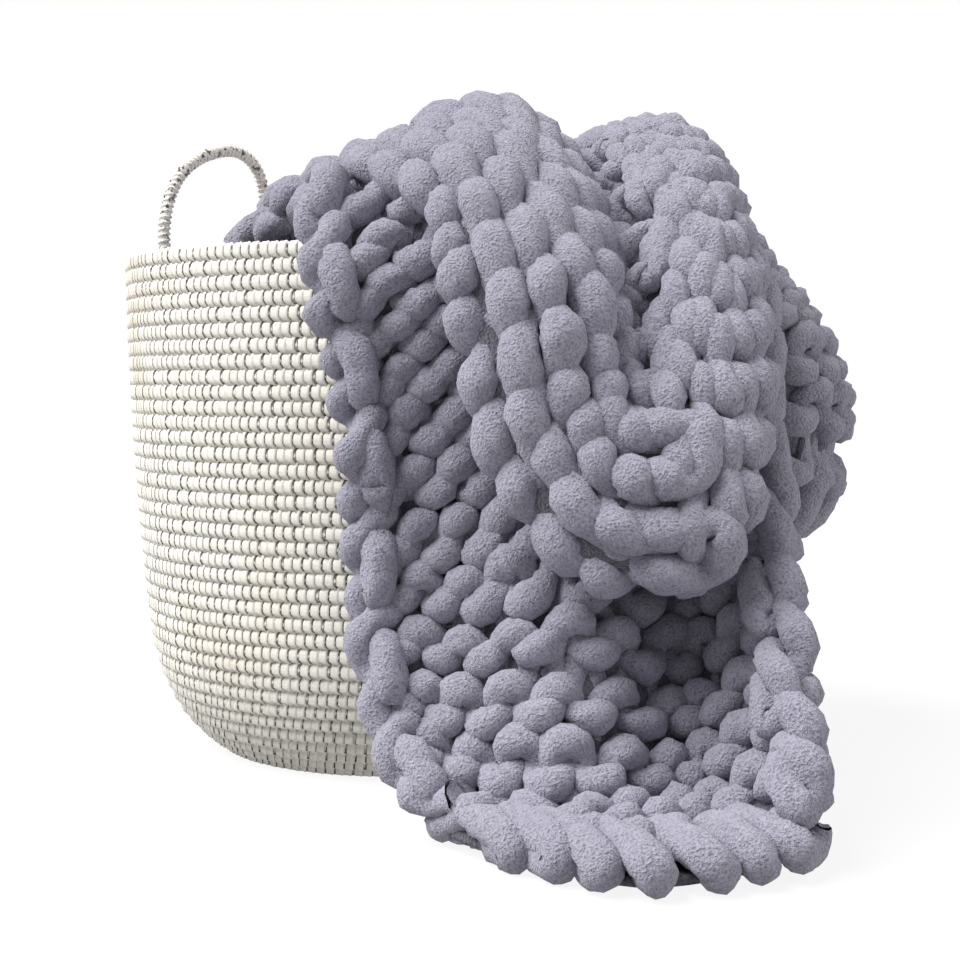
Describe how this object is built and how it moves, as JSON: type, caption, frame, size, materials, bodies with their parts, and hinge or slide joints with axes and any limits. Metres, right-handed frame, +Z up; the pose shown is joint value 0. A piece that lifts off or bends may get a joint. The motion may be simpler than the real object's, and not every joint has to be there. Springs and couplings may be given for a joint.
{
  "type": "knit blanket on basket",
  "caption": "Chunky knit blanket strip draped over a round coiled storage basket, one end stuffed inside, folded back as a swag, with one hem on the floor and the other over the side.",
  "frame": {"origin": "centre of the basket's flat base, on the floor", "axes": "+Z up; -Y is the front, where the knit panel hangs to the floor; +X is the side that the short end falls over"},
  "size_m": [0.6093, 0.6928, 0.5259],
  "materials": {
    "bound grass": "matt cream strip wound round a coil of dry grass",
    "chenille knit": "soft matt grey-lilac chenille pile"
  },
  "bodies": {
    "root": {"basket": "bound grass", "handle": "bound grass", "blanket": "chenille knit"}
  },
  "joints": []
}
